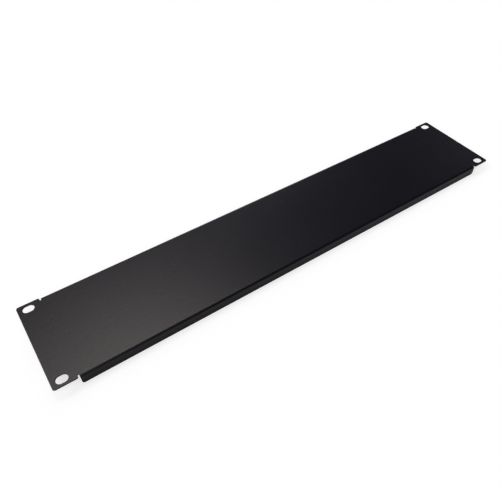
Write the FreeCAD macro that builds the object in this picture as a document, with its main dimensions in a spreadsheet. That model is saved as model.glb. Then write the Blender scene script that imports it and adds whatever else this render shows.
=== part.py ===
"""Rack blanking panel, two units high: one steel sheet, cut to outline, slotted and folded.

The panel lies face up on the free edges of its two flanges. X runs along its width, Y along
its height and Z out of its front face. The origin is at the middle of the footprint, on the
surface that the flanges stand on. All sizes are in millimetres.
"""

import FreeCAD
import Part
import Sketcher
import math
import os

NODE = "blanking_panel"

# Driving dimensions: name, size in millimetres, what it measures.
DIMENSIONS = [
    ("PanelWidth", 482.6, "overall width over both ears, the 19 inch rack size"),
    ("PanelHeight", 88.1, "height over both flanges, two rack units less a running gap"),
    ("SheetThickness", 1.2, "thickness of the coated sheet"),
    ("FlangeDepth", 10.0, "from the front face to the free edge of a flange"),
    ("FlangeCornerRadius", 2.2, "rounding of a flange's two free corners"),
    ("BendInnerRadius", 1.0, "radius inside the fold"),
    ("EarWidth", 20.4, "from the end of the flanges to the end of the panel"),
    ("EarCornerRadius", 2.0, "rounding of an ear's two outer corners"),
    ("EarInnerRadius", 1.4, "rounding of an ear's two corners beside the reliefs"),
    ("ReliefWidth", 1.2, "width of the round-ended relief between an ear and a flange"),
    ("SlotEndInset", 8.75, "from the panel's end to a slot's centre: rows 465.1 apart"),
    ("SlotEdgeInset", 5.95, "from the panel's long edge to a slot's centre: rows 76.2 apart"),
    ("SlotLength", 9.6, "length of a mounting slot, end to end"),
    ("SlotWidth", 7.0, "width of a mounting slot"),
    ("EdgeRounding", 0.3, "rounding of the front side's edges, rolled over by the punch"),
]

# Sizes that follow from the driving ones.
FLANGE_LENGTH = "(PanelWidth - 2 * EarWidth)"
BEND_OUTER_RADIUS = "(BendInnerRadius + SheetThickness)"
SLOT_STRAIGHT = "(SlotLength - SlotWidth)"
SLOT_PITCH_X = "(PanelWidth - 2 * SlotEndInset)"
SLOT_PITCH_Y = "(PanelHeight - 2 * SlotEdgeInset)"

# References that every sketch has: its origin, as a point, and its two axes.
ORIGIN = (-1, 1)
X_AXIS, Y_AXIS = -1, -2

doc = FreeCAD.newDocument("RackBlankingPanel")


def make_spreadsheet():
    """Sheet of driving dimensions, one row each: name, size, note."""
    sheet = doc.addObject("Spreadsheet::Sheet", "Dimensions")
    for row, (name, size, note) in enumerate(DIMENSIONS, start=1):
        sheet.set(f"A{row}", name)
        sheet.set(f"B{row}", str(size))
        sheet.set(f"C{row}", note)
        sheet.setAlias(f"B{row}", name)
    doc.recompute()
    return sheet


sheet = make_spreadsheet()


def cell(formula):
    """Formula in which each dimension's name is written as a reference to its cell."""
    for name, _, _ in DIMENSIONS:
        formula = formula.replace(name, f"<<Dimensions>>.{name}")
    return formula


def value(formula):
    """What a formula of driving dimensions comes to, in millimetres."""
    return float(sheet.evalExpression(cell(formula)))


def same(a, b):
    """True where two lengths differ by rounding alone."""
    return math.isclose(a, b, abs_tol=1e-4)


def origin_feature(body, role):
    """One of the body's own origin planes or axes, by its role."""
    return next(f for f in body.Origin.OriginFeatures if f.Role == role)


def new_sketch(body, name, plane, height=None):
    """Sketch on one of the body's origin planes, raised by a formula if one is given."""
    sketch = body.newObject("Sketcher::SketchObject", name)
    sketch.AttachmentSupport = [(origin_feature(body, plane), "")]
    sketch.MapMode = "FlatFace"
    if height:
        sketch.setExpression(".AttachmentOffset.Base.z", cell(height))
    return sketch


def line(first, last):
    return Part.LineSegment(FreeCAD.Vector(*first, 0), FreeCAD.Vector(*last, 0))


def arc(middle, radius, first, last):
    """Arc of a circle, counter-clockwise from the first angle to the last, in degrees."""
    circle = Part.Circle(FreeCAD.Vector(*middle, 0), FreeCAD.Vector(0, 0, 1), radius)
    return Part.ArcOfCircle(circle, math.radians(first), math.radians(last))


def start(piece):
    """Start point of a line or arc of a sketch, as constraints name it."""
    return piece, 1


def end(piece):
    """End point of a line or arc of a sketch, as constraints name it."""
    return piece, 2


def centre(piece):
    """Centre of an arc of a sketch, as constraints name it."""
    return piece, 3


def constrain(sketch, kind, *where):
    """Adds a constraint without a size."""
    sketch.addConstraint(Sketcher.Constraint(kind, *where))


def dimension(sketch, name, formula, kind, *where):
    """Adds a named dimension to a sketch, driven by a formula."""
    index = sketch.addConstraint(Sketcher.Constraint(kind, *where, value(formula)))
    sketch.renameConstraint(index, name)
    sketch.setExpression(f"Constraints.{name}", cell(formula))


def close_outline(sketch, pieces, square=()):
    """Joins each piece to the next one round, smoothly unless the pair meets squarely."""
    for piece, following in zip(pieces, pieces[1:] + pieces[:1]):
        kind = "Coincident" if (piece, following) in square else "Tangent"
        for here in (start(piece), end(piece)):
            for there in (start(following), end(following)):
                if same((sketch.getPoint(*here) - sketch.getPoint(*there)).Length, 0):
                    constrain(sketch, kind, *here, *there)


def check_sketch(sketch):
    """A sketch that isn't fully constrained would keep a size that no cell drives."""
    doc.recompute()
    if sketch.solve() != 0 or not sketch.FullyConstrained:
        raise RuntimeError(f"{sketch.Label} isn't fully constrained")
    return sketch


def draw_fold_section(body):
    """Channel section across the folded sheet: face, two bends and two flanges."""
    sketch = new_sketch(body, "FoldSection", "YZ_Plane")
    half = value("PanelHeight / 2")
    wall = value("PanelHeight / 2 - SheetThickness")
    front = value("FlangeDepth")
    back = value("FlangeDepth - SheetThickness")
    inner = value("BendInnerRadius")
    outer = value(BEND_OUTER_RADIUS)
    bend_y = half - outer
    bend_z = front - outer

    near_outside = sketch.addGeometry(line((-half, 0), (-half, bend_z)))
    near_bend = sketch.addGeometry(arc((-bend_y, bend_z), outer, 90, 180))
    face = sketch.addGeometry(line((-bend_y, front), (bend_y, front)))
    far_bend = sketch.addGeometry(arc((bend_y, bend_z), outer, 0, 90))
    far_outside = sketch.addGeometry(line((half, bend_z), (half, 0)))
    far_edge = sketch.addGeometry(line((half, 0), (wall, 0)))
    far_inside = sketch.addGeometry(line((wall, 0), (wall, bend_z)))
    far_inner_bend = sketch.addGeometry(arc((bend_y, bend_z), inner, 0, 90))
    rear = sketch.addGeometry(line((bend_y, back), (-bend_y, back)))
    near_inner_bend = sketch.addGeometry(arc((-bend_y, bend_z), inner, 90, 180))
    near_inside = sketch.addGeometry(line((-wall, bend_z), (-wall, 0)))
    near_edge = sketch.addGeometry(line((-wall, 0), (-half, 0)))

    outline = [near_outside, near_bend, face, far_bend, far_outside, far_edge, far_inside,
               far_inner_bend, rear, near_inner_bend, near_inside, near_edge]
    square = [(far_outside, far_edge), (far_edge, far_inside),
              (near_inside, near_edge), (near_edge, near_outside)]
    close_outline(sketch, outline, square)
    constrain(sketch, "Coincident", *centre(near_bend), *centre(near_inner_bend))
    constrain(sketch, "Coincident", *centre(far_bend), *centre(far_inner_bend))
    for level in (face, near_edge, far_edge):
        constrain(sketch, "Horizontal", level)
    for upright in (near_outside, near_inside, far_inside, far_outside):
        constrain(sketch, "Vertical", upright)
    constrain(sketch, "Equal", near_bend, far_bend)
    constrain(sketch, "Symmetric", *end(near_edge), *start(far_edge), Y_AXIS)
    constrain(sketch, "PointOnObject", *end(near_edge), X_AXIS)
    dimension(sketch, "Height", "PanelHeight", "DistanceX", *end(near_edge), *start(far_edge))
    dimension(sketch, "Depth", "FlangeDepth", "DistanceY", *end(near_edge), *start(face))
    dimension(sketch, "NearWall", "SheetThickness", "DistanceX",
              *end(near_edge), *start(near_edge))
    dimension(sketch, "FarWall", "SheetThickness", "DistanceX",
              *end(far_edge), *start(far_edge))
    dimension(sketch, "BendRadius", "BendInnerRadius", "Radius", near_inner_bend)
    return check_sketch(sketch)


def draw_ear(body):
    """Right ear beyond the flanges' ends. Its reliefs are straight as far as the fold line."""
    sketch = new_sketch(body, "EarOutline", "XY_Plane", "FlangeDepth - SheetThickness")
    edge = value("PanelHeight / 2")
    tip = value("PanelWidth / 2")
    root = value(f"{FLANGE_LENGTH} / 2")
    relief = value("ReliefWidth / 2")
    relief_x = root + relief
    relief_y = edge - value(BEND_OUTER_RADIUS)
    side = relief_x + relief
    inner = value("EarInnerRadius")
    inner_x = side + inner
    inner_y = edge - inner
    outer = value("EarCornerRadius")
    outer_x = tip - outer
    outer_y = edge - outer

    neck = sketch.addGeometry(line((root, -relief_y), (root, relief_y)))
    far_relief = sketch.addGeometry(arc((relief_x, relief_y), relief, 180, 360))
    far_side = sketch.addGeometry(line((side, relief_y), (side, inner_y)))
    far_inner = sketch.addGeometry(arc((inner_x, inner_y), inner, 90, 180))
    far_edge = sketch.addGeometry(line((inner_x, edge), (outer_x, edge)))
    far_outer = sketch.addGeometry(arc((outer_x, outer_y), outer, 0, 90))
    ear_end = sketch.addGeometry(line((tip, outer_y), (tip, -outer_y)))
    near_outer = sketch.addGeometry(arc((outer_x, -outer_y), outer, 270, 360))
    near_edge = sketch.addGeometry(line((outer_x, -edge), (inner_x, -edge)))
    near_inner = sketch.addGeometry(arc((inner_x, -inner_y), inner, 180, 270))
    near_side = sketch.addGeometry(line((side, -inner_y), (side, -relief_y)))
    near_relief = sketch.addGeometry(arc((relief_x, -relief_y), relief, 0, 180))

    close_outline(sketch, [neck, far_relief, far_side, far_inner, far_edge, far_outer,
                           ear_end, near_outer, near_edge, near_inner, near_side, near_relief])
    for upright in (far_side, near_side):
        constrain(sketch, "Vertical", upright)
    for level in (far_edge, near_edge):
        constrain(sketch, "Horizontal", level)
    for near, far in ((near_relief, far_relief), (near_inner, far_inner),
                      (near_outer, far_outer)):
        constrain(sketch, "Equal", near, far)
    constrain(sketch, "Symmetric", *start(neck), *end(neck), X_AXIS)
    constrain(sketch, "Symmetric", *start(ear_end), *end(ear_end), X_AXIS)
    dimension(sketch, "Root", f"{FLANGE_LENGTH} / 2", "DistanceX", *ORIGIN, *end(neck))
    dimension(sketch, "Tip", "PanelWidth / 2", "DistanceX", *ORIGIN, *start(ear_end))
    dimension(sketch, "Edge", "PanelHeight / 2", "DistanceY", *ORIGIN, *start(far_edge))
    dimension(sketch, "Relief", "ReliefWidth", "DistanceX", *end(neck), *start(far_side))
    dimension(sketch, "ReliefStraight", BEND_OUTER_RADIUS, "DistanceY",
              *end(neck), *start(far_edge))
    dimension(sketch, "OuterCorner", "EarCornerRadius", "Radius", far_outer)
    dimension(sketch, "InnerCorner", "EarInnerRadius", "Radius", far_inner)
    return check_sketch(sketch)


def draw_slot(body):
    """Mounting slot in the left ear's near corner, drawn on the front face."""
    sketch = new_sketch(body, "SlotOutline", "XY_Plane", "FlangeDepth")
    radius = value("SlotWidth / 2")
    left_x = -value(f"({SLOT_PITCH_X} + {SLOT_STRAIGHT}) / 2")
    right_x = -value(f"({SLOT_PITCH_X} - {SLOT_STRAIGHT}) / 2")
    row_y = -value(f"{SLOT_PITCH_Y} / 2")

    near = sketch.addGeometry(line((left_x, row_y - radius), (right_x, row_y - radius)))
    right = sketch.addGeometry(arc((right_x, row_y), radius, -90, 90))
    far = sketch.addGeometry(line((right_x, row_y + radius), (left_x, row_y + radius)))
    left = sketch.addGeometry(arc((left_x, row_y), radius, 90, 270))

    close_outline(sketch, [near, right, far, left])
    for level in (near, far):
        constrain(sketch, "Horizontal", level)
    dimension(sketch, "EndRadius", "SlotWidth / 2", "Radius", right)
    dimension(sketch, "Straight", SLOT_STRAIGHT, "DistanceX", *centre(left), *centre(right))
    dimension(sketch, "FarthestCentre", f"({SLOT_PITCH_X} + {SLOT_STRAIGHT}) / 2",
              "DistanceX", *centre(left), *ORIGIN)
    dimension(sketch, "Row", f"{SLOT_PITCH_Y} / 2", "DistanceY", *centre(left), *ORIGIN)
    return check_sketch(sketch)


def pad(body, name, sketch, length, side="One side"):
    """Sketch pulled out to a length that a formula drives."""
    feature = body.newObject("PartDesign::Pad", name)
    feature.Profile = sketch
    feature.SideType = side
    feature.setExpression("Length", cell(length))
    feature.Refine = True
    doc.recompute()
    return feature


def mirror(body, name, feature):
    """The feature and its mirror image across the middle of the panel's width."""
    mirrored = body.newObject("PartDesign::Mirrored", name)
    mirrored.Originals = [feature]
    mirrored.MirrorPlane = (origin_feature(body, "YZ_Plane"), [""])
    mirrored.Refine = True
    body.Tip = mirrored
    doc.recompute()
    return mirrored


def cut_through(body, name, sketch):
    """Cut from the sketch back through the whole sheet."""
    cut = body.newObject("PartDesign::Pocket", name)
    cut.Profile = sketch
    cut.Type = "ThroughAll"
    doc.recompute()
    return cut


def repeat_in_corners(body, name, feature):
    """The feature in all four corners of the panel, at the slots' two spacings."""
    pattern = body.newObject("PartDesign::LinearPattern", name)
    pattern.Originals = [feature]
    pattern.Direction = (origin_feature(body, "X_Axis"), [""])
    pattern.setExpression("Length", cell(SLOT_PITCH_X))
    pattern.Occurrences = 2
    pattern.Direction2 = (origin_feature(body, "Y_Axis"), [""])
    pattern.setExpression("Length2", cell(SLOT_PITCH_Y))
    pattern.Occurrences2 = 2
    body.Tip = pattern
    doc.recompute()
    return pattern


def fillet(body, name, base, edges, radius):
    """Rounding of the listed edges of the feature before it."""
    feature = body.newObject("PartDesign::Fillet", name)
    feature.Base = (base, edges)
    feature.setExpression("Radius", cell(radius))
    doc.recompute()
    return feature


def edge_names(shape, wanted):
    """Names of the edges for which wanted(edge) is true."""
    return [f"Edge{n}" for n, edge in enumerate(shape.Edges, start=1) if wanted(edge)]


def flange_corner_edges(shape):
    """The four short edges across the sheet at the flanges' free corners."""
    flange_end = value(f"{FLANGE_LENGTH} / 2")

    def wanted(edge):
        box = edge.BoundBox
        across = same(box.XLength, 0) and same(box.ZLength, 0)
        return across and same(abs(box.Center.x), flange_end) and same(box.Center.z, 0)

    return edge_names(shape, wanted)


def is_front_surface(face):
    """True for a face of the sheet's front side: the face, a fold's outside or a flange."""
    surface = face.Surface
    middle = face.CenterOfMass
    if isinstance(surface, Part.Cylinder):
        along_fold = same(abs(surface.Axis.x), 1)
        return along_fold and same(surface.Radius, value(BEND_OUTER_RADIUS))
    if same(middle.z, value("FlangeDepth")):
        return True
    between_ears = abs(middle.x) < value(f"{FLANGE_LENGTH} / 2")
    return between_ears and same(abs(middle.y), value("PanelHeight / 2"))


def front_rim_edges(shape):
    """Every edge where the front side meets a cut face, round the outline and the slots."""
    counts = {}
    for face in shape.Faces:
        if is_front_surface(face):
            for edge in face.Edges:
                counts[edge.hashCode()] = counts.get(edge.hashCode(), 0) + 1
    return edge_names(shape, lambda edge: counts.get(edge.hashCode()) == 1)


def make_panel():
    """The panel as one body: folded sheet, ears, slots and rolled edges."""
    body = doc.addObject("PartDesign::Body", "BlankingPanel")
    body.Label = NODE
    pad(body, "FoldedSheet", draw_fold_section(body), FLANGE_LENGTH, "Symmetric")
    ear = pad(body, "RightEar", draw_ear(body), "SheetThickness")
    mirror(body, "BothEars", ear)
    slot = cut_through(body, "Slot", draw_slot(body))
    slots = repeat_in_corners(body, "FourSlots", slot)
    corners = fillet(body, "FlangeCorners", slots, flange_corner_edges(slots.Shape),
                     "FlangeCornerRadius")
    fillet(body, "RolledEdges", corners, front_rim_edges(corners.Shape), "EdgeRounding")
    return body


def check_document():
    """Stops if any object failed, because a failed recompute raises nothing by itself."""
    doc.recompute()
    for item in doc.Objects:
        if "Invalid" in item.State or "Error" in item.State:
            raise RuntimeError(f"{item.Label} failed: {item.State}")


panel = make_panel()
check_document()
if panel.Shape.isNull() or not panel.Shape.isValid() or len(panel.Shape.Solids) != 1:
    raise RuntimeError("the panel isn't one valid solid")

os.makedirs("parts", exist_ok=True)
panel.Shape.exportStep(os.path.join("parts", f"{panel.Label}.step"))
print(f"{panel.Label}: {panel.Shape.Volume:.0f} cubic mm, {len(panel.Shape.Faces)} faces")
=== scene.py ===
"""Looks of the rack blanking panel: the coated sheet, the table it lies on, light and camera."""

import bmesh
import bpy
import math
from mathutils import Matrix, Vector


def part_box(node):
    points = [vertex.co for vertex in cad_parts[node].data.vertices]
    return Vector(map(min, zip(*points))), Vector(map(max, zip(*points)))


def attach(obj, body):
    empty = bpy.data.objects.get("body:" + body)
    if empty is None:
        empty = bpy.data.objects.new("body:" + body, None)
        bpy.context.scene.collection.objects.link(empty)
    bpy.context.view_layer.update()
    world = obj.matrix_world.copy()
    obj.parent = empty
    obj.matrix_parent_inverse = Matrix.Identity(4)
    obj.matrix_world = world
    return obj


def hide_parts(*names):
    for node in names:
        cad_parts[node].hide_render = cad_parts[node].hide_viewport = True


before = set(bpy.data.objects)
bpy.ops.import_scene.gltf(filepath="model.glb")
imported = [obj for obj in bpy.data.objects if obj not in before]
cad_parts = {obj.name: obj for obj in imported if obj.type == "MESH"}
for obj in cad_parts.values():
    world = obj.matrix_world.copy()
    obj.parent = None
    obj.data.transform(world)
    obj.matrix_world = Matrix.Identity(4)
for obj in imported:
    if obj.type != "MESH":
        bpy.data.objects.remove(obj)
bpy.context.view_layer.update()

# Panel
# One 1.2 mm steel sheet, punched to outline with its reliefs and slots and folded down along
# both long edges. Satin black powder coat is baked on all over, so it has no bare metal.
PANEL_NODE = "blanking_panel"
SHEET = 0.0012
FOLD_RADIUS = 0.0022
FOLD_STEPS = 12
EAR_WIDTH = 0.0204
EAR_CORNER = 0.002
EAR_INNER_CORNER = 0.0014
FLANGE_CORNER = 0.0022
RELIEF_WIDTH = 0.0012
CORNER_STEPS = 10
SLOT_FROM_END = 0.00875
SLOT_FROM_EDGE = 0.00595
SLOT_LENGTH = 0.0096
SLOT_WIDTH = 0.007
SLOT_STEPS = 48
EDGE_ROUNDING = 0.0003
EDGE_STEPS = 4
EDGE_ANGLE = math.radians(50)
FLAT_ANGLE = math.radians(1)
QUARTER_TURN = math.pi / 2
ROUND_PROFILE = 0.5
SAME_MATERIAL = -1
TOUCH = 1e-6

panel_low, panel_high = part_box(PANEL_NODE)
panel_end = panel_high.x
panel_edge = panel_high.y
front = panel_high.z
flange_end = panel_end - EAR_WIDTH
relief_side = flange_end + RELIEF_WIDTH
fold_line = panel_edge - FOLD_RADIUS
relief_floor = fold_line - RELIEF_WIDTH / 2
slot_x = panel_end - SLOT_FROM_END
slot_y = panel_edge - SLOT_FROM_EDGE
slot_reach = (SLOT_LENGTH - SLOT_WIDTH) / 2


def round_corners(bm, radius, *places):
    """Rounds the corners of the sheet that stand at the given places."""
    corners = [v for v in bm.verts for place in places if math.dist(v.co, place) < TOUCH]
    bmesh.ops.bevel(bm, geom=corners, offset=radius, offset_type="OFFSET",
                    segments=CORNER_STEPS, profile=ROUND_PROFILE, affect="VERTICES",
                    clamp_overlap=False, material=SAME_MATERIAL)
    bmesh.ops.remove_doubles(bm, verts=bm.verts[:], dist=TOUCH)


def only(kind, geometry):
    """The verts, edges or faces among the geometry that an operator gives back."""
    return [item for item in geometry if isinstance(item, kind)]


def quarter_blank():
    """A quarter of the flat face, from the panel's middle to one ear, with its slot."""
    bm = bmesh.new()
    outline = [(0, 0), (panel_end, 0), (panel_end, panel_edge), (relief_side, panel_edge),
               (relief_side, relief_floor), (flange_end, relief_floor),
               (flange_end, fold_line), (0, fold_line)]
    bm.faces.new([bm.verts.new((x, y, front)) for x, y in outline])
    round_corners(bm, EAR_CORNER, (panel_end, panel_edge, front))
    round_corners(bm, EAR_INNER_CORNER, (relief_side, panel_edge, front))
    round_corners(bm, RELIEF_WIDTH / 2, (relief_side, relief_floor, front),
                  (flange_end, relief_floor, front))
    rim = bmesh.ops.create_circle(bm, segments=SLOT_STEPS, radius=SLOT_WIDTH / 2)["verts"]
    for side in (-1, 1):
        half = [v for v in rim if side * v.co.x > TOUCH]
        bmesh.ops.translate(bm, verts=half, vec=(side * slot_reach, 0, 0))
    bmesh.ops.translate(bm, verts=rim, vec=(slot_x, slot_y, front))
    bmesh.ops.delete(bm, geom=bm.faces[:], context="FACES_ONLY")
    bmesh.ops.triangle_fill(bm, edges=bm.edges[:], use_beauty=True)
    return bm


def fold_flange(bm):
    """Folds the sheet down round the fold line and draws the flange out below it."""
    line = [e for e in bm.edges if all(abs(v.co.y - fold_line) < TOUCH for v in e.verts)]
    bend = bmesh.ops.spin(bm, geom=line, cent=(0, fold_line, front - FOLD_RADIUS),
                          axis=(1, 0, 0), angle=-QUARTER_TURN, steps=FOLD_STEPS)
    lower = only(bmesh.types.BMEdge, bend["geom_last"])
    drawn = bmesh.ops.extrude_edge_only(bm, edges=lower)["geom"]
    bmesh.ops.translate(bm, verts=only(bmesh.types.BMVert, drawn),
                        vec=(0, 0, panel_low.z - front + FOLD_RADIUS))
    round_corners(bm, FLANGE_CORNER, (flange_end, panel_edge, panel_low.z))


def complete_sheet(bm):
    """The other three quarters, and the sheet's thickness behind its front side."""
    for axis in ("X", "Y"):
        bmesh.ops.mirror(bm, geom=bm.verts[:] + bm.edges[:] + bm.faces[:], axis=axis,
                         merge_dist=TOUCH)
    bmesh.ops.remove_doubles(bm, verts=bm.verts[:], dist=TOUCH)
    bmesh.ops.dissolve_limit(bm, angle_limit=FLAT_ANGLE, verts=bm.verts[:],
                             edges=bm.edges[:])
    bmesh.ops.recalc_face_normals(bm, faces=bm.faces[:])
    if max(bm.faces, key=lambda face: face.calc_area()).normal.z < 0:
        bmesh.ops.reverse_faces(bm, faces=bm.faces[:])
    bmesh.ops.solidify(bm, geom=bm.faces[:], thickness=SHEET)


def roll_edges(bm):
    """Rounds every cut edge, and marks where the coat draws thin over it."""
    edges = [e for e in bm.edges if e.calc_face_angle() > EDGE_ANGLE]
    rolled = bmesh.ops.bevel(bm, geom=edges, offset=EDGE_ROUNDING, offset_type="OFFSET",
                             segments=EDGE_STEPS, profile=ROUND_PROFILE, affect="EDGES",
                             clamp_overlap=False, loop_slide=True,
                             material=SAME_MATERIAL)["faces"]
    thin = bm.verts.layers.float.new("thin_coat")
    rolled = set(rolled)
    for vert in bm.verts:
        vert[thin] = float(all(face in rolled for face in vert.link_faces))


sheet = quarter_blank()
fold_flange(sheet)
complete_sheet(sheet)
roll_edges(sheet)
for face in sheet.faces:
    face.smooth = True
mesh = bpy.data.meshes.new("panel")
sheet.to_mesh(mesh)
sheet.free()
panel = bpy.data.objects.new("panel", mesh)
bpy.context.scene.collection.objects.link(panel)
panel.modifiers.new("shading", "WEIGHTED_NORMAL")

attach(panel, "root")
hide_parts(PANEL_NODE)

# The coat's finish: near black with a fine powder grain over a faint orange peel, a little
# glossier in some places than in others, and thinner and glossier in patches over the rounded
# edges, where the powder draws back.
COAT_COLOUR = (0.0026, 0.0026, 0.0054, 1)
GRAIN_COLOUR = (0.0008, 0.0008, 0.0028, 1)
THIN_COLOUR = (0.0060, 0.0056, 0.0075, 1)
COAT_IOR = 1.5
COAT_ROUGHNESS = 0.272
ROUGHNESS_SPREAD = 0.02
THIN_GLOSS = 0.06
CLOUD_SIZE = 0.06
CLOUD_DETAIL = 3
GRAIN_SIZE = 0.0008
GRAIN_DETAIL = 2
GRAIN_HEIGHT = 0.000016
GRAIN_CONTRAST = (0.38, 0.62)
PEEL_SIZE = 0.0035
PEEL_HEIGHT = 0.00004
THIN_PATCH_SIZE = 0.004

coat = bpy.data.materials.new("powder_coat")
coat.use_nodes = True
nodes = coat.node_tree.nodes
links = coat.node_tree.links
shader = nodes["Principled BSDF"]
shader.inputs["IOR"].default_value = COAT_IOR
place = nodes.new("ShaderNodeTexCoord")

edge = nodes.new("ShaderNodeAttribute")
edge.attribute_name = "thin_coat"
patches = nodes.new("ShaderNodeTexNoise")
patches.inputs["Scale"].default_value = 1 / THIN_PATCH_SIZE
links.new(place.outputs["Object"], patches.inputs["Vector"])
thin = nodes.new("ShaderNodeMath")
thin.operation = "MULTIPLY"
links.new(edge.outputs["Fac"], thin.inputs[0])
links.new(patches.outputs["Fac"], thin.inputs[1])
tint = nodes.new("ShaderNodeMixRGB")
tint.inputs["Color2"].default_value = THIN_COLOUR
links.new(thin.outputs["Value"], tint.inputs["Fac"])
links.new(tint.outputs["Color"], shader.inputs["Base Color"])

clouds = nodes.new("ShaderNodeTexNoise")
clouds.inputs["Scale"].default_value = 1 / CLOUD_SIZE
clouds.inputs["Detail"].default_value = CLOUD_DETAIL
links.new(place.outputs["Object"], clouds.inputs["Vector"])
satin = nodes.new("ShaderNodeMapRange")
satin.inputs["To Min"].default_value = COAT_ROUGHNESS - ROUGHNESS_SPREAD
satin.inputs["To Max"].default_value = COAT_ROUGHNESS + ROUGHNESS_SPREAD
links.new(clouds.outputs["Fac"], satin.inputs["Value"])
roughness = nodes.new("ShaderNodeMath")
roughness.operation = "MULTIPLY_ADD"
roughness.inputs[1].default_value = -THIN_GLOSS
links.new(thin.outputs["Value"], roughness.inputs[0])
links.new(satin.outputs["Result"], roughness.inputs[2])
links.new(roughness.outputs["Value"], shader.inputs["Roughness"])

peel = nodes.new("ShaderNodeTexNoise")
peel.inputs["Scale"].default_value = 1 / PEEL_SIZE
links.new(place.outputs["Object"], peel.inputs["Vector"])
waves = nodes.new("ShaderNodeBump")
waves.inputs["Distance"].default_value = PEEL_HEIGHT
links.new(peel.outputs["Fac"], waves.inputs["Height"])
grain = nodes.new("ShaderNodeTexNoise")
grain.inputs["Scale"].default_value = 1 / GRAIN_SIZE
grain.inputs["Detail"].default_value = GRAIN_DETAIL
links.new(place.outputs["Object"], grain.inputs["Vector"])
bump = nodes.new("ShaderNodeBump")
bump.inputs["Distance"].default_value = GRAIN_HEIGHT
links.new(grain.outputs["Fac"], bump.inputs["Height"])
links.new(waves.outputs["Normal"], bump.inputs["Normal"])
links.new(bump.outputs["Normal"], shader.inputs["Normal"])
specks = nodes.new("ShaderNodeMapRange")
specks.inputs["From Min"].default_value = GRAIN_CONTRAST[0]
specks.inputs["From Max"].default_value = GRAIN_CONTRAST[1]
links.new(grain.outputs["Fac"], specks.inputs["Value"])
powder = nodes.new("ShaderNodeMixRGB")
powder.inputs["Color1"].default_value = GRAIN_COLOUR
powder.inputs["Color2"].default_value = COAT_COLOUR
links.new(specks.outputs["Result"], powder.inputs["Fac"])
links.new(powder.outputs["Color"], tint.inputs["Color1"])
mesh.materials.append(coat)

# Floor
# A large matt table under the panel, in pale grey paper. The camera sees it lit up to white,
# and the panel's soft shadow on it stays.
FLOOR_RADIUS = 6
FLOOR_SEGMENTS = 96
FLOOR_COLOUR = (0.448, 0.463, 0.461, 1)
FLOOR_ROUGHNESS = 1
FLOOR_GLOSS = 0
FLOOR_LIFT = 0.655
LIFT_COLOUR = (1, 1, 1, 1)

floor_mesh = bpy.data.meshes.new("floor")
table = bmesh.new()
bmesh.ops.create_circle(table, cap_ends=True, segments=FLOOR_SEGMENTS, radius=FLOOR_RADIUS)
table.to_mesh(floor_mesh)
table.free()
floor = bpy.data.objects.new("floor", floor_mesh)
bpy.context.scene.collection.objects.link(floor)

paper = bpy.data.materials.new("floor_paper")
paper.use_nodes = True
nodes = paper.node_tree.nodes
links = paper.node_tree.links
shader = nodes["Principled BSDF"]
shader.inputs["Base Color"].default_value = FLOOR_COLOUR
shader.inputs["Roughness"].default_value = FLOOR_ROUGHNESS
shader.inputs["Specular IOR Level"].default_value = FLOOR_GLOSS
shader.inputs["Emission Color"].default_value = LIFT_COLOUR
path = nodes.new("ShaderNodeLightPath")
lift = nodes.new("ShaderNodeMath")
lift.operation = "MULTIPLY"
lift.inputs[1].default_value = FLOOR_LIFT
links.new(path.outputs["Is Camera Ray"], lift.inputs[0])
links.new(lift.outputs["Value"], shader.inputs["Emission Strength"])
floor_mesh.materials.append(paper)

# Studio light
# Five soft lamps in a dim studio, each brightest in its middle and fading out to its rim: one
# overhead and leaning to the far side, a low one behind the panel, a small one low at the right,
# and one each at the back left and the front left. The camera sees plain white all round.
OVERHEAD_AIM = (0.079, 0.416, 0.906)
OVERHEAD_RIM = 0.936
OVERHEAD_LIGHT = (3.88, 3.58, 3.46)
LOW_AIM = (0.438, 0.825, 0.356)
LOW_RIM = 0.945
LOW_LIGHT = (2.6, 2.65, 3.0)
RIGHT_AIM = (0.828, 0.386, 0.407)
RIGHT_RIM = 0.98
RIGHT_LIGHT = (0.46, 0.46, 0.46)
BACK_AIM = (-0.55, 0.40, 0.73)
BACK_RIM = 0.866
BACK_LIGHT = (3.0, 2.79, 2.73)
FRONT_AIM = (-0.62, -0.36, 0.70)
FRONT_RIM = 0.55
FRONT_LIGHT = (1.8, 1.75, 1.74)
LAMP_FALLOFF = 1.9
STUDIO_LIGHT = (0.071, 0.067, 0.087)
BACKDROP_COLOUR = (1, 1, 1, 1)

world = bpy.data.worlds.new("studio")
bpy.context.scene.world = world
world.use_nodes = True
nodes = world.node_tree.nodes
links = world.node_tree.links
direction = nodes.new("ShaderNodeTexCoord")
studio = nodes.new("ShaderNodeCombineXYZ")
for part, value in zip("XYZ", STUDIO_LIGHT):
    studio.inputs[part].default_value = value


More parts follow.
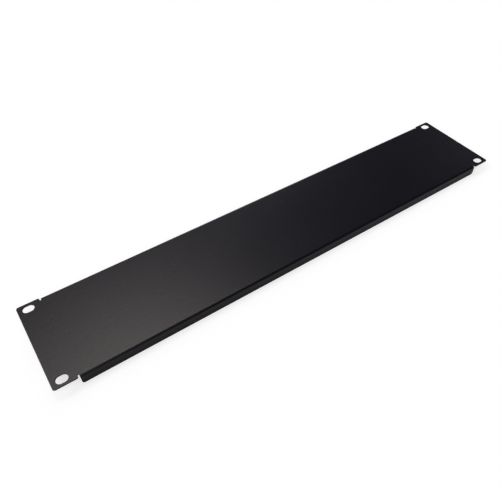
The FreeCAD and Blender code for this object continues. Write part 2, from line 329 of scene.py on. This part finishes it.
def add_lamp(aim, rim, light, rest):
    """Adds a soft lamp round a direction of the sky to the light that is there already."""
    facing = nodes.new("ShaderNodeVectorMath")
    facing.operation = "DOT_PRODUCT"
    facing.inputs[1].default_value = aim
    links.new(direction.outputs["Generated"], facing.inputs[0])
    inside = nodes.new("ShaderNodeMapRange")
    inside.inputs["From Min"].default_value = rim
    links.new(facing.outputs["Value"], inside.inputs["Value"])
    soft = nodes.new("ShaderNodeMath")
    soft.operation = "POWER"
    soft.inputs[1].default_value = LAMP_FALLOFF
    links.new(inside.outputs["Result"], soft.inputs[0])
    lamp = nodes.new("ShaderNodeVectorMath")
    lamp.operation = "SCALE"
    lamp.inputs[0].default_value = light
    links.new(soft.outputs["Value"], lamp.inputs["Scale"])
    total = nodes.new("ShaderNodeVectorMath")
    total.operation = "ADD"
    links.new(rest, total.inputs[0])
    links.new(lamp.outputs["Vector"], total.inputs[1])
    return total.outputs["Vector"]


light = add_lamp(OVERHEAD_AIM, OVERHEAD_RIM, OVERHEAD_LIGHT, studio.outputs["Vector"])
light = add_lamp(LOW_AIM, LOW_RIM, LOW_LIGHT, light)
light = add_lamp(RIGHT_AIM, RIGHT_RIM, RIGHT_LIGHT, light)
light = add_lamp(BACK_AIM, BACK_RIM, BACK_LIGHT, light)
light = add_lamp(FRONT_AIM, FRONT_RIM, FRONT_LIGHT, light)
lamps = nodes["Background"]
links.new(light, lamps.inputs["Color"])
backdrop = nodes.new("ShaderNodeBackground")
backdrop.inputs["Color"].default_value = BACKDROP_COLOUR
path = nodes.new("ShaderNodeLightPath")
choice = nodes.new("ShaderNodeMixShader")
links.new(path.outputs["Is Camera Ray"], choice.inputs["Fac"])
links.new(lamps.outputs["Background"], choice.inputs[1])
links.new(backdrop.outputs["Background"], choice.inputs[2])
links.new(choice.outputs["Shader"], nodes["World Output"].inputs["Surface"])
bpy.context.scene.view_settings.view_transform = "Standard"

# Camera
# It stands over the panel's left front corner and looks down along the panel, as the
# photograph does.
CAMERA_PLACE = (-0.2231, -0.27071, 0.35309)
CAMERA_TURN = (43.084, -0.643, -34.715)
CAMERA_LENS = 37.047
CAMERA_SHIFT = (-0.0174, -0.0091)

camera_data = bpy.data.cameras.new("camera")
camera_data.lens = CAMERA_LENS
camera_data.shift_x, camera_data.shift_y = CAMERA_SHIFT
camera = bpy.data.objects.new("camera", camera_data)
camera.location = CAMERA_PLACE
camera.rotation_euler = [math.radians(angle) for angle in CAMERA_TURN]
bpy.context.scene.collection.objects.link(camera)
bpy.context.scene.camera = camera
